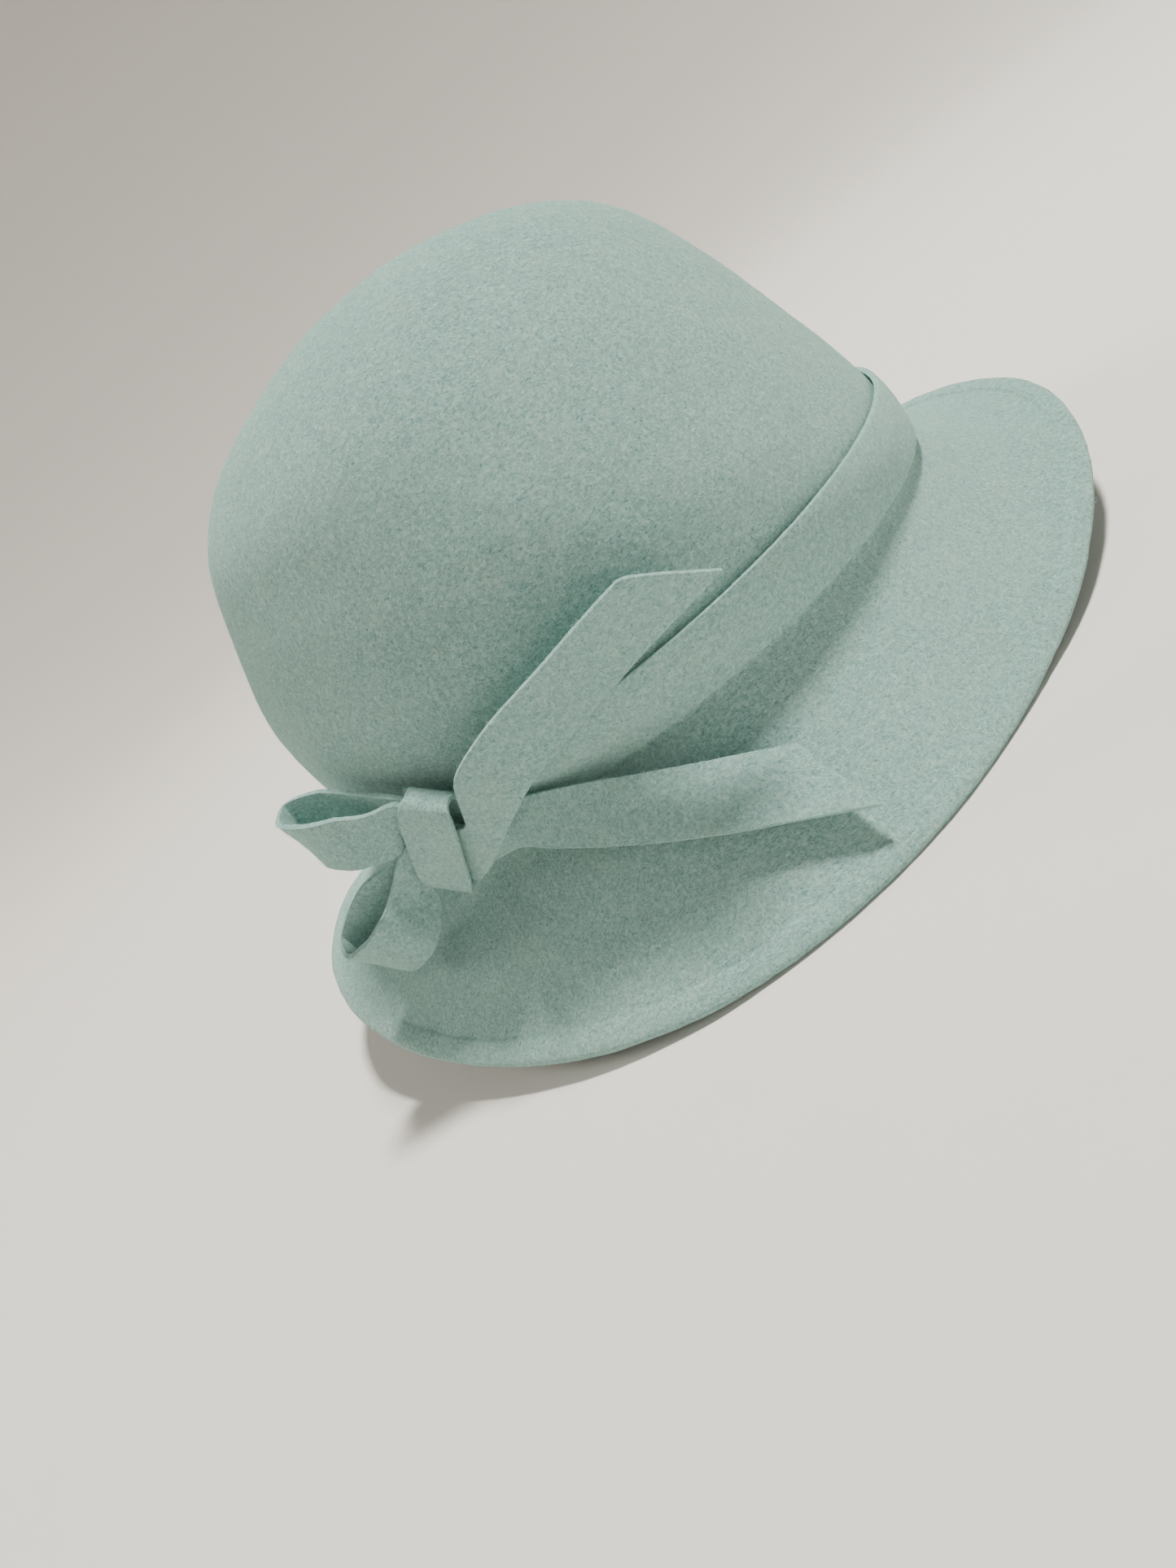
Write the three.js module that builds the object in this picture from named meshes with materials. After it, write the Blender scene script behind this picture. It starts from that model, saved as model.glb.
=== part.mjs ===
// Felt cloche hat with a felt band and a bow, resting on its rim. Millimetres, +Z up, wearer's front -Y.
import * as THREE from "three";

// Driving dimensions (mm). Heights are measured from the band's lower edge.
const FELT = 2.0; // wall of the crown and brim
const STRIP = 1.8; // thickness of the band, loops and tails
const LAYER = 1.16; // how far each layer in the knot sits from the knot's middle
const CLEAR = 0.55; // air between the crown and the band
const HEAD_LENGTH = 200; // outside of the crown at the band, front to back
const OVAL_BASE = 0.84; // crown width over length at the band
const OVAL_TOP = 0.91; // the same near the tip of the crown
const CROWN_HEIGHT = 132;
const BAND_FOOT = 0.6; // the band just clears the brim
const BAND_HEIGHT = 20.5;
const BRIM_ROOT = -1.8; // height where the brim leaves the crown
const REST_TRIM = 1.4; // how far the rim's lowest stretches are pressed flat
const TAIL_SLANT = 17; // how much longer a tail's lower edge is than its upper edge
const AROUND = 60; // facets round the hat

// Crown outline: height, half length of the oval and how far its centre sits behind the band's centre.
const CROWN = [
  { up: 0, half: 100, back: 0 },
  { up: 16, half: 104.5, back: 5.5 },
  { up: 37, half: 103, back: 10 },
  { up: 60, half: 97.5, back: 13 },
  { up: 82, half: 88.5, back: 12.5 },
  { up: 103, half: 77.5, back: 13 },
  { up: 119, half: 56.5, back: 12 },
  { up: 128, half: 29.5, back: 11 },
  { up: CROWN_HEIGHT, half: 0, back: 11 },
];

// Brim round the hat. turn 0 is the front, 90 the wearer's right and 180 the back (degrees);
// width runs down the felt, drop is the mean slope and curl how much it changes towards the rim.
const BRIM = [
  { turn: 0, width: 58.5, drop: 24, curl: -45 },
  { turn: 30, width: 55.5, drop: 47.5, curl: -40 },
  { turn: 60, width: 58.5, drop: 58.5, curl: -15 },
  { turn: 90, width: 64, drop: 53, curl: -5 },
  { turn: 120, width: 69, drop: 46, curl: -5 },
  { turn: 150, width: 66, drop: 39.5, curl: -5 },
  { turn: 180, width: 62, drop: 23, curl: -10 },
  { turn: 210, width: 64, drop: 22, curl: -5 },
  { turn: 240, width: 65.5, drop: 47.5, curl: -5 },
  { turn: 270, width: 64.5, drop: 53.5, curl: -5 },
  { turn: 300, width: 62.5, drop: 52, curl: -20 },
  { turn: 330, width: 60, drop: 23, curl: -40 },
];

// Hem section: distance in from the rim, and how far the top and underside stand off the felt's middle.
const HEM = [
  { inward: 9.2, top: 1.0, under: 1.0 },
  { inward: 7.9, top: 0.5, under: 1.1 },
  { inward: 6.9, top: 1.6, under: 1.8 },
  { inward: 4.6, top: 2.2, under: 2.2 },
  { inward: 2.1, top: 2.1, under: 2.1 },
  { inward: 0.6, top: 1.5, under: 1.5 },
];

// Knot: a strip wrapped once round the gathered ends. tip turns its length from upright, towards the back.
const KNOT = { turn: 144.2, up: 11.5, out: 10.6, wide: 16, long: 35.6, deep: 10.5, tip: 34, lean: 6 };

// Ribbons: turn round the crown, height, stand-off from the crown and outward lean of the strip's
// upper edge (degrees), at the middle of the strip. Each one starts in the knot, on its back (+1) or
// front (-1) side and its outer (+1) or inner (-1) layer; a loop returns on the other layer. inner and
// outer place it along the knot's length, with its gathered span there, at the knot's middle and its edge.
// slant is how much longer a free end's lower edge is than its upper edge.
const RIBBONS = {
  bow_tail_upper: {
    slant: TAIL_SLANT,
    grip: { side: -1, layers: [1], inner: 4.5, innerSpan: 18, outer: 1, outerSpan: 22 },
    stations: [
      { turn: 129.5, up: 19.5, out: 10.4, lean: 6, wide: 18.5 },
      { turn: 121.5, up: 24.8, out: 7.2, lean: 8, wide: 19 },
      { turn: 110, up: 29, out: 6, lean: 14, wide: 19 },
      { turn: 98, up: 33.5, out: 8.5, lean: 15, wide: 19 },
      { turn: 87.5, up: 36.5, out: 12, lean: 15, wide: 19 },
    ],
  },
  bow_tail_lower: {
    slant: TAIL_SLANT,
    grip: { side: -1, layers: [-1], inner: 0.6, innerSpan: 14.5, outer: 1.6, outerSpan: 14.5 },
    stations: [
      { turn: 137, up: 4.5, out: 8.4, lean: 0, wide: 14.5 },
      { turn: 131.5, up: 1, out: 10.4, lean: -17, wide: 16 },
      { turn: 124, up: -3.5, out: 13, lean: -27, wide: 17.5 },
      { turn: 115, up: -9.5, out: 16.5, lean: -34, wide: 18.5 },
      { turn: 105, up: -17, out: 20.5, lean: -40, wide: 19.5 },
      { turn: 92.5, up: -28, out: 26, lean: -42, wide: 20 },
    ],
  },
  bow_loop_upper: {
    slant: 0,
    grip: { side: 1, layers: [1, -1], inner: -7.2, innerSpan: 13, outer: -7.8, outerSpan: 13 },
    stations: [
      { turn: 147.8, up: 22.5, out: 13, lean: 5, wide: 15 },
      { turn: 152, up: 26, out: 17.5, lean: 0, wide: 17 },
      { turn: 155.5, up: 30, out: 20.5, lean: 5, wide: 17 },
      { turn: 158.5, up: 33, out: 19.5, lean: 5, wide: 17 },
      { turn: 159.5, up: 34, out: 15.5, lean: 5, wide: 17 },
      { turn: 157.5, up: 32, out: 10, lean: 5, wide: 17 },
      { turn: 152, up: 26, out: 6.5, lean: 4, wide: 17 },
    ],
  },
  bow_loop_lower: {
    slant: 0,
    grip: { side: 1, layers: [1, -1], inner: 7.3, innerSpan: 12.4, outer: 7.3, outerSpan: 12.2 },
    stations: [
      { turn: 155.4, up: -0.6, out: 24, lean: 16, wide: 15 },
      { turn: 155.5, up: -6, out: 33, lean: 20, wide: 19 },
      { turn: 159, up: -9.5, out: 39, lean: 24, wide: 19 },
      { turn: 162, up: -9, out: 40.5, lean: 24, wide: 19 },
      { turn: 163, up: -5, out: 36, lean: 20, wide: 19 },
      { turn: 159, up: 2, out: 25, lean: 15, wide: 19 },
      { turn: 154.8, up: 5.2, out: 15, lean: 12, wide: 14.5 },
    ],
  },
};

const FELT_LOOK = { color: 0x8fb3b0, roughness: 0.95, metalness: 0 };

const rad = THREE.MathUtils.degToRad;
const lerp = THREE.MathUtils.lerp;

// Value of one column of a table at x, along a smooth curve that never overshoots the rows.
function column(rows, key, name, x) {
  const n = rows.length;
  const step = (i) => (rows[i + 1][name] - rows[i][name]) / (rows[i + 1][key] - rows[i][key]);
  const slope = (i) => {
    if (i === 0) return step(0);
    if (i === n - 1) return step(n - 2);
    const [a, b] = [step(i - 1), step(i)];
    return a * b <= 0 ? 0 : (2 * a * b) / (a + b);
  };
  let i = 0;
  while (i < n - 2 && x > rows[i + 1][key]) i += 1;
  const [p, q] = [rows[i], rows[i + 1]];
  const h = q[key] - p[key];
  const t = THREE.MathUtils.clamp((x - p[key]) / h, 0, 1);
  const [t2, t3] = [t * t, t * t * t];
  return p[name] * (2 * t3 - 3 * t2 + 1) + slope(i) * h * (t3 - 2 * t2 + t)
    + q[name] * (3 * t2 - 2 * t3) + slope(i + 1) * h * (t3 - t2);
}

// Value of one column of the brim table at a turn, smooth across the join at the front.
function brimAt(turn, name) {
  const n = BRIM.length;
  const at = ((turn % 360) + 360) % 360 / (360 / n);
  const i = Math.floor(at);
  const t = at - i;
  const [a, b, c, d] = [-1, 0, 1, 2].map((k) => BRIM[(i + k + n) % n][name]);
  return b + 0.5 * t * (c - a + t * (2 * a - 5 * b + 4 * c - d + t * (3 * (b - c) + d - a)));
}

const CROWN_AREA = CROWN.map((row) => ({ up: row.up, area: row.half ** 2, back: row.back }));

// Radius of the crown's oval at a height and turn, and the oval's centre.
function oval(turn, up) {
  const z = THREE.MathUtils.clamp(up, 0, CROWN_HEIGHT);
  const half = Math.sqrt(Math.max(column(CROWN_AREA, "up", "area", z), 0)) * (HEAD_LENGTH / 200);
  const side = half * lerp(OVAL_BASE, OVAL_TOP, z / CROWN_HEIGHT);
  const [s, c] = [Math.sin(rad(turn)), Math.cos(rad(turn))];
  const radius = half > 0 ? 1 / Math.hypot(s / side, c / half) : 0;
  return { radius, back: column(CROWN, "up", "back", z) };
}

// Point at a turn and height, standing off the crown's outside by out.
function site(turn, up, out) {
  const { radius, back } = oval(turn, up);
  const r = radius + out;
  return new THREE.Vector3(-r * Math.sin(rad(turn)), back - r * Math.cos(rad(turn)), up);
}

const outward = (turn) => new THREE.Vector3(-Math.sin(rad(turn)), -Math.cos(rad(turn)), 0);

// Solid between a grid of outer points and a grid of inner points, closed along its open ends.
// wrapU joins the last column to the first; wrapV does the same for rows.
function shell(outer, inner, { wrapU = false, wrapV = false } = {}) {
  const [rows, cols] = [outer.length, outer[0].length];
  const positions = [...outer, ...inner].flat().flatMap((p) => [p.x, p.y, p.z]);
  const index = [];
  const id = (layer, i, j) => (layer * rows + (i % rows)) * cols + (j % cols);
  const quad = (a, b, c, d) => index.push(a, b, c, a, c, d);
  const [lastI, lastJ] = [wrapV ? rows : rows - 1, wrapU ? cols : cols - 1];
  for (let i = 0; i < lastI; i += 1) {
    for (let j = 0; j < lastJ; j += 1) {
      quad(id(0, i, j), id(0, i + 1, j), id(0, i + 1, j + 1), id(0, i, j + 1));
      quad(id(1, i, j), id(1, i, j + 1), id(1, i + 1, j + 1), id(1, i + 1, j));
    }
  }
  if (!wrapV) {
    for (let j = 0; j < lastJ; j += 1) {
      quad(id(0, 0, j), id(0, 0, j + 1), id(1, 0, j + 1), id(1, 0, j));
      quad(id(0, rows - 1, j), id(1, rows - 1, j), id(1, rows - 1, j + 1), id(0, rows - 1, j + 1));
    }
  }
  if (!wrapU) {
    for (let i = 0; i < lastI; i += 1) {
      quad(id(0, i, 0), id(1, i, 0), id(1, i + 1, 0), id(0, i + 1, 0));
      quad(id(0, i, cols - 1), id(0, i + 1, cols - 1), id(1, i + 1, cols - 1), id(1, i, cols - 1));
    }
  }
  return solid(positions, index);
}

// Closed body from its points and triangles, turned so that its faces look outwards.
function solid(positions, index) {
  const corner = (k) => new THREE.Vector3().fromArray(positions, 3 * index[k]);
  let volume = 0;
  for (let k = 0; k < index.length; k += 3) volume += corner(k).dot(corner(k + 1).cross(corner(k + 2)));
  if (volume < 0) index.reverse();
  const geometry = new THREE.BufferGeometry();
  geometry.setAttribute("position", new THREE.Float32BufferAttribute(positions, 3));
  geometry.setIndex(index);
  geometry.computeVertexNormals();
  return geometry;
}

// Middle line of the felt at one turn, from the crown's tip to the rim, as rows of { point, top, under }.
function feltLine(turn) {
  const line = [];
  const wall = (up) => {
    const cap = (up / CROWN_HEIGHT) ** 3; // near the tip the wall's thickness is measured downwards
    const point = site(turn, up, (-FELT / 2) * (1 - cap)).setZ(up - (FELT / 2) * cap);
    return { point, top: FELT / 2, under: FELT / 2 };
  };
  const crownRows = 14;
  for (let i = 1; i <= crownRows; i += 1) {
    const t = Math.cos((i / crownRows) * (Math.PI / 2));
    line.push(wall(CROWN_HEIGHT * Math.max(t, 0)));
  }
  const [width, drop, curl] = ["width", "drop", "curl"].map((name) => brimAt(turn, name));
  const inward = [];
  const plainRows = 6;
  const plain = width - HEM[0].inward;
  for (let i = 0; i < plainRows; i += 1) inward.push({ inward: width - (plain * i) / plainRows });
  const flat = inward.map((row) => ({ ...row, top: 1, under: 1 }));
  const rows = [...flat, ...HEM, { inward: 0, top: 0, under: 0 }];
  const out = outward(turn);
  const start = site(turn, 0, -FELT / 2).setZ(BRIM_ROOT);
  const steps = 60;
  for (const row of rows) {
    const reach = width - row.inward;
    let [away, down] = [0, 0];
    for (let k = 0; k < steps; k += 1) {
      const slope = rad(drop + curl * (((k + 0.5) / steps) * (reach / width) - 0.5));
      away += (reach / steps) * Math.cos(slope);
      down += (reach / steps) * Math.sin(slope);
    }
    const point = start.clone().addScaledVector(out, away).setZ(BRIM_ROOT - down);
    line.push({ point, top: row.top * (FELT / 2), under: row.under * (FELT / 2) });
  }
  return line;
}

// Crown and brim as one hollow felt piece with its turned hem.
function hatBody() {
  const lines = Array.from({ length: AROUND }, (_, j) => feltLine((360 * j) / AROUND));
  const rows = lines[0].length;
  const point = (i, j) => lines[(j + AROUND) % AROUND][i].point;
  const tip = site(0, CROWN_HEIGHT, 0).setZ(CROWN_HEIGHT - FELT / 2);
  const normal = (i, j) => {
    const down = point(Math.min(i + 1, rows - 1), j).clone().sub(i === 0 ? tip : point(i - 1, j));
    const along = point(i, j + 1).clone().sub(point(i, j - 1));
    return down.cross(along).normalize();
  };
  const lowest = lines.map((line) => line[rows - 2].point.z - line[rows - 2].under * 0.6);
  const rest = Math.min(...lowest) + REST_TRIM;
  const layer = (side, last) => {
    const grid = [];
    for (let i = 0; i < last; i += 1) {
      grid.push(lines.map((line, j) => {
        const away = side > 0 ? line[i].top : -line[i].under;
        const p = line[i].point.clone().addScaledVector(normal(i, j), away);
        return p.setZ(Math.max(p.z, rest));
      }));
    }
    return grid;
  };
  const outer = layer(1, rows);
  const inner = layer(-1, rows - 1).reverse();
  const rings = [...outer, ...inner];
  const positions = rings.flat().flatMap((p) => [p.x, p.y, p.z]);
  const [top, under] = [rings.length * AROUND, rings.length * AROUND + 1];
  positions.push(tip.x, tip.y, tip.z + FELT / 2, tip.x, tip.y, tip.z - FELT / 2);
  const index = [];
  const last = (rings.length - 1) * AROUND;
  for (let j = 0; j < AROUND; j += 1) {
    const k = (j + 1) % AROUND;
    index.push(top, j, k, under, last + k, last + j);
    for (let i = 0; i < rings.length - 1; i += 1) {
      const [a, b] = [i * AROUND, (i + 1) * AROUND];
      index.push(a + j, b + j, b + k, a + j, b + k, a + k);
    }
  }
  return solid(positions, index);
}

// Flat strip lying round the foot of the crown.
function hatBand() {
  const rows = 3;
  const height = (i) => BAND_FOOT + ((BAND_HEIGHT - BAND_FOOT) * (rows - i)) / rows;
  const layer = (out) => Array.from({ length: rows + 1 }, (_, i) =>
    Array.from({ length: AROUND }, (_, j) => site((360 * j) / AROUND, height(i), out)));
  return shell(layer(CLEAR + STRIP), layer(CLEAR), { wrapU: true });
}

// Place of the knot: its centre, and the directions along its length, across it and out of its face.
function knotFrame() {
  const back = site(KNOT.turn + 1, KNOT.up, 0).sub(site(KNOT.turn - 1, KNOT.up, 0)).normalize();
  const out = new THREE.Vector3(-back.y, back.x, 0);
  const up = out.clone().multiplyScalar(Math.sin(rad(KNOT.lean))).setZ(Math.cos(rad(KNOT.lean)));
  const [s, c] = [Math.sin(rad(KNOT.tip)), Math.cos(rad(KNOT.tip))];
  const long = back.clone().multiplyScalar(s).addScaledVector(up, -c);
  const side = back.clone().multiplyScalar(c).addScaledVector(up, s);
  const deep = new THREE.Vector3().crossVectors(side, long).normalize();
  return { centre: site(KNOT.turn, KNOT.up, KNOT.out), long, side, deep };
}

// Strip of felt from its grip in the knot through its stations, and back into the grip if it is a loop.
function ribbon({ slant, grip, stations }) {
  const { centre, long, side, deep } = knotFrame();
  const held = (layer) => [0, 0.5, 1].map((t) => ({
    point: centre.clone().addScaledVector(side, grip.side * lerp(0.08, 0.62, t) * KNOT.wide)
      .addScaledVector(long, lerp(grip.inner, grip.outer, t)).addScaledVector(deep, layer * LAYER),
    half: long.clone().multiplyScalar(-lerp(grip.innerSpan, grip.outerSpan, t) / 2),
  }));
  const free = stations.map((s) => ({ ...s, point: site(s.turn, s.up, s.out) }));
  const [first, last] = grip.layers.map(held);
  const stops = [...first, ...free, ...(last ? last.reverse() : [])];
  const path = new THREE.CatmullRomCurve3(stops.map((stop) => stop.point), false, "centripetal");
  const halves = stops.map((stop, i) => {
    if (stop.half) return stop.half;
    const along = path.getTangent(i / (stops.length - 1));
    const up = outward(stop.turn).multiplyScalar(Math.sin(rad(stop.lean))).setZ(Math.cos(rad(stop.lean)));
    const rise = up.addScaledVector(along, -up.dot(along)).normalize();
    const cut = i === stops.length - 1 ? slant : 0;
    return rise.multiplyScalar(stop.wide / 2).addScaledVector(along, -cut / 2);
  });
  const cuts = (stops.length - 1) * 4;
  const [front, rear] = [[], []];
  for (let i = 0; i <= cuts; i += 1) {
    const at = (i / cuts) * (stops.length - 1);
    const k = Math.min(Math.floor(at), stops.length - 2);
    const half = halves[k].clone().lerp(halves[k + 1], at - k);
    const face = path.getTangent(i / cuts).cross(half).normalize();
    const middle = path.getPoint(i / cuts);
    const line = (skin) => [1, 0, -1].map((v) =>
      middle.clone().addScaledVector(half, v).addScaledVector(face, (skin * STRIP) / 2));
    front.push(line(1));
    rear.push(line(-1));
  }
  return shell(front, rear);
}

// Closed loop of strip that grips the gathered ends, open through its middle.
function knot() {
  const { centre, long, side, deep } = knotFrame();
  const [cuts, across, square] = [28, 3, 0.5];
  const bend = (v) => Math.sign(v) * Math.abs(v) ** square;
  const layer = (inset) => Array.from({ length: cuts }, (_, i) => {
    const a = (2 * Math.PI * i) / cuts;
    const waist = 1 - 0.25 * (1 - Math.abs(Math.sin(a)));
    return Array.from({ length: across + 1 }, (_, j) => centre.clone()
      .addScaledVector(side, (j / across - 0.5) * KNOT.wide * waist)
      .addScaledVector(long, bend(Math.cos(a)) * (KNOT.long / 2 - inset))
      .addScaledVector(deep, bend(Math.sin(a)) * (KNOT.deep / 2 - inset)));
  });
  return shell(layer(0), layer(STRIP), { wrapV: true });
}

const hat = new THREE.Group();
hat.name = "cloche_hat";

function add(name, geometry) {
  const mesh = new THREE.Mesh(geometry, new THREE.MeshStandardMaterial(FELT_LOOK));
  mesh.name = name;
  hat.add(mesh);
}

add("hat_body", hatBody());
add("hat_band", hatBand());
for (const [name, shape] of Object.entries(RIBBONS)) add(name, ribbon(shape));
add("bow_knot", knot());

// Origin at the middle of the footprint, on the surface the rim rests on.
const box = new THREE.Box3().setFromObject(hat);
const foot = new THREE.Vector3((box.min.x + box.max.x) / 2, (box.min.y + box.max.y) / 2, box.min.z);
for (const mesh of hat.children) mesh.geometry.translate(-foot.x, -foot.y, -foot.z);

export default hat;
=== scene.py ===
"""Felt cloche hat with a flat band and a folded bow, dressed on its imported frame. Metres, +Z up."""

from __future__ import annotations

import logging
import math
import random
from dataclasses import dataclass
from enum import Enum
from typing import Any, Iterable, Optional

import bmesh
import bpy
from mathutils import Matrix, Vector, noise


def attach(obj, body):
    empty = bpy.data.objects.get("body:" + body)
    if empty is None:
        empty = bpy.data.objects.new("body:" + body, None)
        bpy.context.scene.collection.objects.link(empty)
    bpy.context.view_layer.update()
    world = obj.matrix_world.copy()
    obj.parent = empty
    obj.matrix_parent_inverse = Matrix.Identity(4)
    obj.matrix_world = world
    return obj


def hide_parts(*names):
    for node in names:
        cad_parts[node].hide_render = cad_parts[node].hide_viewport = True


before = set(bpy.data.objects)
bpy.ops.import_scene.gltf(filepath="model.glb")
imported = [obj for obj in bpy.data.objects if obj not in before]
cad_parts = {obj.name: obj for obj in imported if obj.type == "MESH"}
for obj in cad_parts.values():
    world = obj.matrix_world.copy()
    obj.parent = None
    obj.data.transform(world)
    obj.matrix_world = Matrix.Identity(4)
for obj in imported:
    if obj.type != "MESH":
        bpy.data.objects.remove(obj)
log = logging.getLogger("cloche_hat")

MM = 0.001
WAVE_PER_METRE = 45.0
NAP_PER_METRE = 700.0


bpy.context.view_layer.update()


class Lie(Enum):
    """How a strip of felt is kept in its shape."""

    FOLDED = "folded"
    STRETCHED = "stretched"


class Link:
    """A shader socket that takes part in arithmetic: each operation adds its Math node."""

    def __init__(self, graph: "Graph", socket: bpy.types.NodeSocket) -> None:
        """Wraps one output socket of a graph.

        Args:
            graph: The graph the socket belongs to.
            socket: The output socket.
        """
        self.graph = graph
        self.socket = socket

    def _math(self, operation: str, a: Any, b: Any) -> "Link":
        """Adds a Math node and returns its result."""
        return self.graph.node("ShaderNodeMath", {"operation": operation}, {0: a, 1: b})

    def __add__(self, other: Any) -> "Link":
        """self + other."""
        return self._math("ADD", self, other)

    __radd__ = __add__

    def __mul__(self, other: Any) -> "Link":
        """self * other."""
        return self._math("MULTIPLY", self, other)

    __rmul__ = __mul__

    def __sub__(self, other: Any) -> "Link":
        """self - other."""
        return self._math("SUBTRACT", self, other)

    def __rsub__(self, other: Any) -> "Link":
        """other - self."""
        return self._math("SUBTRACT", other, self)

    def __abs__(self) -> "Link":
        """Size of self."""
        return self._math("ABSOLUTE", self, 0.0)

    def at_least(self, other: Any) -> "Link":
        """The larger of self and other."""
        return self._math("MAXIMUM", self, other)


class Graph:
    """Node tree of one material."""

    def __init__(self, name: str) -> None:
        """Starts an empty material.

        Args:
            name: The material's name.
        """
        self.material = bpy.data.materials.new(name)
        self.material.use_nodes = True
        self.tree = self.material.node_tree
        self.tree.nodes.clear()

    def node(self, kind: str, settings: dict[str, Any], inputs: dict[Any, Any], out: Any = 0) -> Link:
        """Adds any node.

        Args:
            kind: The node's type.
            settings: Its properties, set before its sockets.
            inputs: Values or links by the socket's name or place.
            out: Name or place of the output wanted.

        Returns:
            The output as a Link.
        """
        made = self.tree.nodes.new(kind)
        for key, value in settings.items():
            setattr(made, key, value)
        for key, value in inputs.items():
            if isinstance(value, Link):
                self.tree.links.new(value.socket, made.inputs[key])
            else:
                made.inputs[key].default_value = value
        return Link(self, made.outputs[out])

    def finish(self, shader: Link) -> None:
        """Joins the shader to the material's output."""
        output = self.tree.nodes.new("ShaderNodeOutputMaterial")
        self.tree.links.new(shader.socket, output.inputs["Surface"])

    def place(self) -> Link:
        """Object coordinates, in metres."""
        return self.node("ShaderNodeTexCoord", {}, {}, "Object")

    def turned(self, place: Link, degrees: tuple[float, float, float],
               scale: tuple[float, float, float]) -> Link:
        """Coordinates turned and stretched.

        Args:
            place: The coordinates.
            degrees: Turn about X, Y and Z.
            scale: Stretch along each axis, which makes a pattern finer.

        Returns:
            The new coordinates.
        """
        turn = tuple(math.radians(d) for d in degrees)
        return self.node("ShaderNodeMapping", {}, {"Vector": place, "Rotation": turn, "Scale": scale})

    def noise(self, place: Link, scale: float, detail: float = 2.0, twist: float = 0.0) -> Link:
        """Cloud noise from 0 to 1 at a scale per metre."""
        inputs = {"Vector": place, "Scale": scale, "Detail": detail, "Distortion": twist}
        return self.node("ShaderNodeTexNoise", {}, inputs, 0)

    def ramp(self, value: Link, low: float, high: float) -> Link:
        """value stretched so that low becomes 0 and high becomes 1, held within them."""
        inputs = {0: value, 1: low, 2: high, 3: 0.0, 4: 1.0}
        return self.node("ShaderNodeMapRange", {}, inputs)

    def mix(self, factor: Any, a: Any, b: Any) -> Link:
        """Colour a where factor is 0 and b where it is 1."""
        return self.node("ShaderNodeMix", {"data_type": "RGBA"}, {0: factor, 6: a, 7: b}, 2)


Colour = tuple[float, float, float, float]


@dataclass(frozen=True)
class Felt:
    """Brushed wool felt: a mat of pale and dark fibres over a mottled ground."""

    name: str
    ground: Colour = (0.165, 0.390, 0.390, 1.0)
    pale: Colour = (0.560, 0.800, 0.720, 1.0)
    deep: Colour = (0.030, 0.150, 0.170, 1.0)
    warm: Colour = (0.560, 0.560, 0.450, 1.0)
    strands: float = 1150.0
    tufts: float = 950.0
    clouds: float = 42.0
    warm_patches: float = 95.0
    grain: float = 2600.0
    relief: float = 0.7
    height: float = 0.9 * MM
    sheen: float = 0.45

    def build(self) -> bpy.types.Material:
        """Makes the material.

        Returns:
            The felt material.
        """
        g = Graph(self.name)
        place = g.place()
        strands = self._strands(g, place)
        tuft = g.noise(place, self.tufts, 4.0, 0.8)
        cloud = g.noise(place, self.clouds, 3.0)
        lighter = self._between(self.ground, self.pale, 0.12)
        ground = g.mix(g.ramp(cloud, 0.30, 0.72), self.ground, lighter)
        ground = g.mix(g.ramp(tuft, 0.56, 0.30) * 0.70, ground, self.deep)
        ground = g.mix(g.ramp(tuft, 0.50, 0.74) * 0.60, ground, self.pale)
        warmth = g.ramp(g.noise(place, self.warm_patches, 3.0), 0.55, 0.78) * 0.16
        ground = g.mix(warmth, ground, self.warm)
        colour = g.mix(strands * 0.50, ground, self.pale)
        lift = strands * 0.55 + tuft * 0.9 + g.noise(place, self.grain, 3.0) * 0.25
        raised = {"Strength": self.relief, "Distance": self.height, "Height": lift}
        bump = g.node("ShaderNodeBump", {}, raised)
        rough = g.ramp(tuft, 0.2, 0.8) * 0.10 + 0.88
        surface = {
            "Base Color": colour, "Roughness": rough, "Normal": bump, "Sheen Weight": self.sheen,
            "Sheen Roughness": 0.55, "Sheen Tint": self.pale, "Specular IOR Level": 0.18,
        }
        shader = g.node("ShaderNodeBsdfPrincipled", {}, surface)
        g.finish(shader)
        return g.material

    def _strands(self, g: Graph, place: Link) -> Link:
        """Thin winding lines of single fibres lying in several directions.

        Args:
            g: The graph.
            place: Object coordinates.

        Returns:
            1 on a fibre and 0 between fibres.
        """
        lines: Optional[Link] = None
        for k, turn in enumerate(((12, 35, 20), (60, -20, 75), (-35, 70, 130))):
            lain = g.turned(place, turn, (1.0, 0.22, 0.8))
            wave = g.noise(lain, self.strands * (1.0 + 0.23 * k), 3.0, 1.4)
            ridge = g.ramp(1.0 - abs(wave - 0.5) * 9.0, 0.15, 0.95)
            lines = ridge if lines is None else lines.at_least(ridge)
        return lines

    @staticmethod
    def _between(a: Colour, b: Colour, t: float) -> Colour:
        """The colour a part t of the way from a to b."""
        return tuple(x + (y - x) * t for x, y in zip(a, b))


@dataclass(frozen=True)
class Paper:
    """Plain pale backdrop paper."""

    name: str = "backdrop_paper"
    colour: Colour = (0.78, 0.76, 0.73, 1.0)

    def build(self) -> bpy.types.Material:
        """Makes the material.

        Returns:
            The paper.
        """
        g = Graph(self.name)
        grain = g.noise(g.place(), 60.0, 4.0)
        darker = tuple(c * 0.97 for c in self.colour[:3]) + (1.0,)
        colour = g.mix(grain, self.colour, darker)
        shader = g.node("ShaderNodeBsdfPrincipled", {}, {"Base Color": colour, "Roughness": 0.9})
        g.finish(shader)
        return g.material


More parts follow.
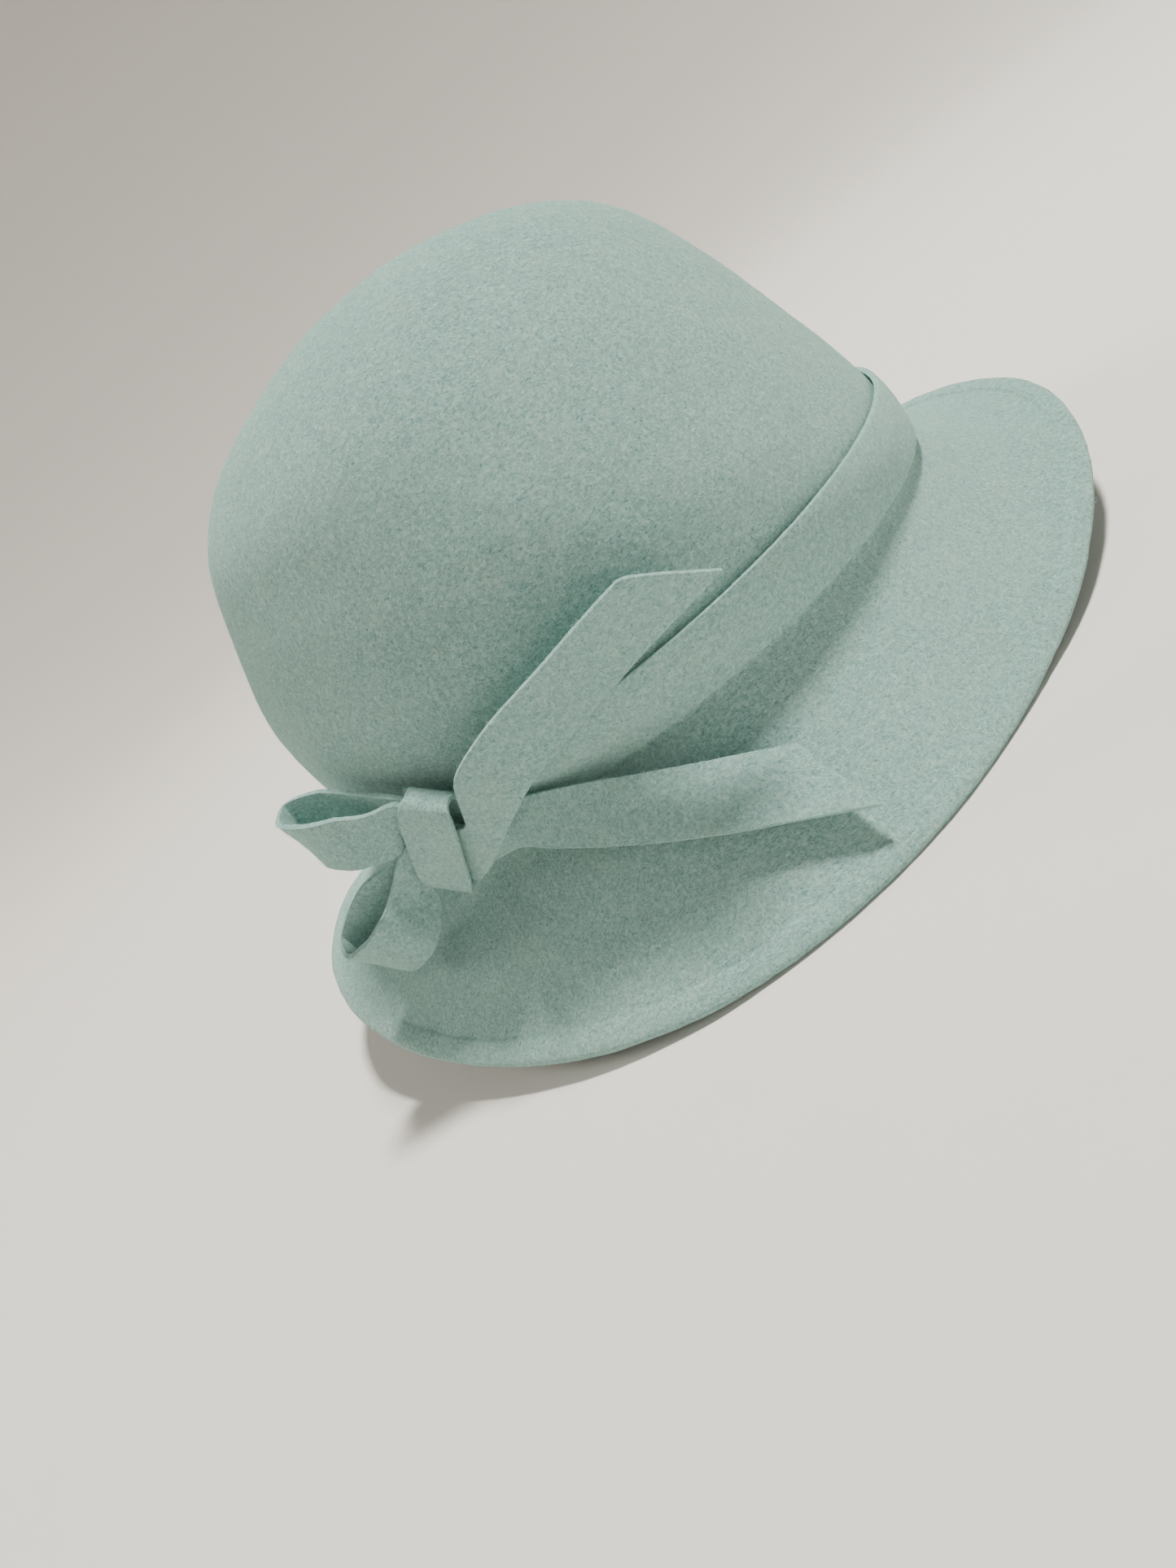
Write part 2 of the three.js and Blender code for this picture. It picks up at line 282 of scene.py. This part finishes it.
def finished(name: str, bm: bmesh.types.BMesh, material: bpy.types.Material) -> bpy.types.Object:
    """Object at the origin from a bmesh, smooth shaded.

    Args:
        name: The piece's name.
        bm: Its mesh, which is freed.
        material: Its material.

    Returns:
        The new object.
    """
    for face in bm.faces:
        face.smooth = True
    mesh = bpy.data.meshes.new(name)
    bm.to_mesh(mesh)
    bm.free()
    mesh.materials.append(material)
    piece = bpy.data.objects.new(name, mesh)
    bpy.context.scene.collection.objects.link(piece)
    return piece


@dataclass
class FeltPiece:
    """One felt piece, made fine from its solid."""

    node: str
    levels: int = 2
    join_below: float = 179.0
    edge: float = 0.0
    crease_above: float = 20.0
    crease: float = 0.55
    wave: float = 0.35 * MM
    nap: float = 0.16 * MM

    def copy(self) -> bmesh.types.BMesh:
        """The solid's own surface as quads, its shared corners merged.

        Returns:
            The surface, for the caller to finish and free.
        """
        bm = bmesh.new()
        bm.from_mesh(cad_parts[self.node].data)
        bmesh.ops.remove_doubles(bm, verts=bm.verts, dist=0.005 * MM)
        limit = math.radians(self.join_below)
        bmesh.ops.join_triangles(bm, faces=bm.faces, angle_face_threshold=limit,
                                 angle_shape_threshold=math.radians(179))
        return bm

    def build(self, material: bpy.types.Material) -> bpy.types.Object:
        """Builds the piece and takes its solid's place.

        Args:
            material: The felt.

        Returns:
            The finished piece.
        """
        bm = self.copy()
        if self.edge:
            sharp = [e for e in bm.edges if e.is_manifold and e.calc_face_angle() > math.radians(50)]
            bmesh.ops.bevel(bm, geom=sharp, offset=self.edge, segments=2, profile=0.5,
                            affect="EDGES", material=-1, clamp_overlap=True)
        else:
            self._keep_folds(bm)
        piece = finished(f"felt_{self.node}", bm, material)
        rounding = piece.modifiers.new("rounding", "SUBSURF")
        rounding.levels = rounding.render_levels = self.levels
        self._uneven(piece)
        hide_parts(self.node)
        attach(piece, "root")
        log.info("%s: %d faces", piece.name, len(piece.data.polygons))
        return piece

    def _keep_folds(self, bm: bmesh.types.BMesh) -> None:
        """Holds the hem's folds and groove against the rounding.

        Args:
            bm: The surface, whose folds get a crease.
        """
        held = bm.edges.layers.float.new("crease_edge")
        for edge in bm.edges:
            if edge.is_manifold and edge.calc_face_angle() > math.radians(self.crease_above):
                edge[held] = self.crease

    def _uneven(self, piece: bpy.types.Object) -> None:
        """Applies the rounding and gives the felt its slight waviness and raised nap.

        Args:
            piece: The piece, whose mesh is replaced. What rests on the floor is left flat.
        """
        graph = bpy.context.evaluated_depsgraph_get()
        fine = bpy.data.meshes.new_from_object(piece.evaluated_get(graph))
        piece.modifiers.clear()
        rest = 0.15 * MM
        points = [vertex.co.copy() for vertex in fine.vertices]
        normals = [vertex.normal.copy() for vertex in fine.vertices]
        for point, normal in zip(points, normals):
            broad = noise.noise(point * WAVE_PER_METRE) * self.wave
            fuzz = noise.fractal(point * NAP_PER_METRE, 0.8, 2.1, 3) * self.nap
            if point.z > rest:
                point += normal * (broad + fuzz)
                point.z = max(point.z, 0.0)
        fine.vertices.foreach_set("co", [x for point in points for x in point])
        piece.data = fine
        fine.name = piece.name


@dataclass
class Strip(FeltPiece):
    """A cut strip of the same felt, with crisp edges."""

    levels: int = 2
    join_below: float = 40.0
    edge: float = 0.35 * MM
    wave: float = 0.12 * MM
    nap: float = 0.10 * MM
    held: Lie = Lie.FOLDED
    rests_on: tuple[str, ...] = ("felt_hat_body",)

    def declare(self, piece: bpy.types.Object) -> None:
        """Does nothing.

        Args:
            piece: The finished strip. Not used.
        """


@dataclass
class Fuzz:
    """Loose fibres standing out of a felt surface."""

    count: int
    shortest: float = 0.9 * MM
    longest: float = 3.0 * MM
    stand: float = 0.40
    thick: float = 0.030 * MM
    sunk: float = 0.05 * MM
    seed: int = 7

    def build(self, piece: bpy.types.Object, material: bpy.types.Material) -> bpy.types.Object:
        """Grows the fibres on a piece.

        Args:
            piece: The felt they stand on.
            material: The fibres' material.

        Returns:
            The fibres as one mesh.
        """
        draw = random.Random(self.seed + len(piece.name))
        curve = bpy.data.curves.new("fibres", "CURVE")
        curve.dimensions = "3D"
        curve.bevel_depth = self.thick
        curve.bevel_resolution = 0
        mesh = piece.data
        faces = mesh.polygons
        picked = draw.choices(range(len(faces)), weights=[f.area for f in faces], k=self.count)
        for number in picked:
            face = faces[number]
            root = self._spot(mesh, face, draw)
            if root.z < self.longest:
                continue
            self._fibre(curve, root, face.normal, draw)
        soft = bpy.data.objects.new("fibres", curve)
        bpy.context.scene.collection.objects.link(soft)
        graph = bpy.context.evaluated_depsgraph_get()
        tufts = bpy.data.meshes.new_from_object(soft.evaluated_get(graph))
        bpy.data.objects.remove(soft)
        bpy.data.curves.remove(curve)
        name = piece.name.replace("felt_", "fuzz_")
        tufts.name = name
        tufts.materials.clear()
        tufts.materials.append(material)
        made = bpy.data.objects.new(name, tufts)
        bpy.context.scene.collection.objects.link(made)
        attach(made, "root")
        log.info("%s: %d faces", name, len(tufts.polygons))
        return made

    @staticmethod
    def _spot(mesh: bpy.types.Mesh, face: bpy.types.MeshPolygon, draw: random.Random) -> Vector:
        """A random point on a face.

        Args:
            mesh: The felt's mesh.
            face: One of its faces.
            draw: The seeded random draws.

        Returns:
            The point.
        """
        corners = [mesh.vertices[v].co for v in face.vertices]
        weights = [draw.random() + 0.05 for _ in corners]
        total = sum(weights)
        return sum((c * (w / total) for c, w in zip(corners, weights)), Vector())

    def _fibre(self, curve: bpy.types.Curve, root: Vector, normal: Vector,
               draw: random.Random) -> None:
        """Adds one bent fibre, lying mostly along the surface.

        Args:
            curve: The curve that holds the fibres.
            root: Where it grows.
            normal: The felt's outward direction there.
            draw: The seeded random draws.
        """
        aside = Vector((draw.gauss(0, 1), draw.gauss(0, 1), draw.gauss(0, 1)))
        aside = (aside - normal * aside.dot(normal)).normalized()
        across = normal.cross(aside)
        length = draw.uniform(self.shortest, self.longest)
        bend = draw.uniform(-0.5, 0.5)
        rise = self.stand * draw.uniform(0.2, 1.0)
        spline = curve.splines.new("POLY")
        spline.points.add(2)
        for point, t in zip(spline.points, (0.0, 0.5, 1.0)):
            flat = aside * (length * t) + across * (length * bend * t * t)
            co = root + flat + normal * (length * rise * math.sin(t * 2.2) - self.sunk)
            point.co = (*co, 1.0)
            point.radius = 1.0 - 0.6 * t


@dataclass
class Hat:
    """The crown and brim with the band and the bow."""

    body_fibres: int = 9000
    band_fibres: int = 3000
    strip_fibres: int = 1500
    strip_longest: float = 2.4 * MM
    felt: Felt = Felt("teal_wool_felt")
    strip_felt: Felt = Felt("teal_strip_felt", strands=1300.0, relief=0.6)
    fibre: Felt = Felt("teal_loose_fibre", ground=(0.36, 0.56, 0.53, 1.0), relief=0.1)

    def build(self) -> None:
        """Builds every piece of the hat."""
        felt, strip_felt, fibre = self.felt.build(), self.strip_felt.build(), self.fibre.build()
        body = FeltPiece("hat_body").build(felt)
        Fuzz(self.body_fibres, seed=11).build(body, fibre)
        rests = {
            "hat_band": "felt_hat_body", "bow_knot": "felt_hat_band", "bow_loop_upper": "felt_bow_knot",
            "bow_loop_lower": "felt_bow_knot", "bow_tail_upper": "felt_hat_band",
            "bow_tail_lower": "felt_hat_band",
        }
        for node, under in rests.items():
            is_band = node == "hat_band"
            held = Lie.STRETCHED if is_band else Lie.FOLDED
            strip = Strip(node, held=held, rests_on=(under,))
            piece = strip.build(strip_felt)
            strip.declare(piece)
            count = self.band_fibres if is_band else self.strip_fibres
            Fuzz(count, longest=self.strip_longest, seed=29).build(piece, fibre)


@dataclass
class Studio:
    """Seamless pale sweep, soft light and the camera."""

    flat_radius: float = 1.1
    wall_radius: float = 2.6
    wall_height: float = 3.0
    bend_steps: int = 14
    lens: float = 27.09
    film: float = 36.0
    stand: tuple[float, float, float] = (-0.36442, 0.05993, 0.16862)
    right: tuple[float, float, float] = (-0.26717317, -0.74836495, -0.60709834)
    up: tuple[float, float, float] = (0.25649538, -0.66249965, 0.70377861)
    aim_height: float = 0.09

    def build(self) -> None:
        """Builds the backdrop, the lights and the camera."""
        self._sweep()
        self._lights()
        self._camera()

    def _sweep(self) -> None:
        """Floor that curves up into a wall all round."""
        bm = bmesh.new()
        bend = self.wall_radius - self.flat_radius
        profile = [bm.verts.new((0.001, 0, 0)), bm.verts.new((self.flat_radius, 0, 0))]
        for k in range(1, self.bend_steps + 1):
            a = math.pi / 2 * k / self.bend_steps
            across = self.flat_radius + bend * math.sin(a)
            profile.append(bm.verts.new((across, 0, bend * (1 - math.cos(a)))))
        profile.append(bm.verts.new((self.wall_radius, 0, self.wall_height)))
        edges = [bm.edges.new(pair) for pair in zip(profile, profile[1:])]
        bmesh.ops.spin(bm, geom=profile + edges, axis=(0, 0, 1), cent=(0, 0, 0), angle=math.tau,
                       steps=96, use_merge=True)
        bmesh.ops.remove_doubles(bm, verts=bm.verts, dist=0.0005)
        sweep = finished("studio_sweep", bm, Paper().build())

    def _lamp(self, name: str, place: Vector, size: float, power: float,
              tint: tuple[float, float, float]) -> None:
        """Adds a square soft light that looks at the hat.

        Args:
            name: The light's name.
            place: Where it hangs.
            size: Length of its side.
            power: Watts.
            tint: Its colour.
        """
        lamp = bpy.data.lights.new(name, "AREA")
        lamp.size = size
        lamp.energy = power
        lamp.color = tint
        made = bpy.data.objects.new(name, lamp)
        made.location = place
        aim = Vector((0, 0, self.aim_height)) - place
        made.rotation_euler = aim.to_track_quat("-Z", "Y").to_euler()
        bpy.context.scene.collection.objects.link(made)

    def _lights(self) -> None:
        """Key from above and in front, rim from behind, weak fill from the side and a pale room."""
        self._lamp("key", Vector((0.10, -0.55, 1.65)), 0.22, 56.0, (1.0, 0.96, 0.87))
        self._lamp("rim", Vector((0.80, 1.50, 0.80)), 0.50, 16.0, (1.0, 0.93, 0.82))
        self._lamp("fill", Vector((-1.5, -0.3, 0.9)), 1.4, 1.8, (0.86, 0.95, 1.0))
        world = bpy.data.worlds.new("room")
        world.use_nodes = True
        back = world.node_tree.nodes["Background"]
        back.inputs["Color"].default_value = (0.93, 0.96, 1.0, 1.0)
        back.inputs["Strength"].default_value = 0.10
        bpy.context.scene.world = world

    def _camera(self) -> None:
        """Camera beside the hat's right, tipped on its side."""
        lens = bpy.data.cameras.new("camera")
        lens.sensor_fit = "VERTICAL"
        lens.sensor_height = self.film
        lens.lens = self.lens
        lens.clip_start = 0.01
        right, up = Vector(self.right), Vector(self.up)
        back = right.cross(up)
        turn = Matrix((right, up, back)).transposed().to_4x4()
        camera = bpy.data.objects.new("camera", lens)
        camera.matrix_world = Matrix.Translation(self.stand) @ turn
        bpy.context.scene.collection.objects.link(camera)
        bpy.context.scene.camera = camera


def main() -> None:
    """Builds the hat and its studio."""
    logging.basicConfig(level=logging.INFO, format="%(name)s %(message)s")
    Hat().build()
    Studio().build()
    bpy.context.view_layer.update()


if __name__ == "__main__":
    main()
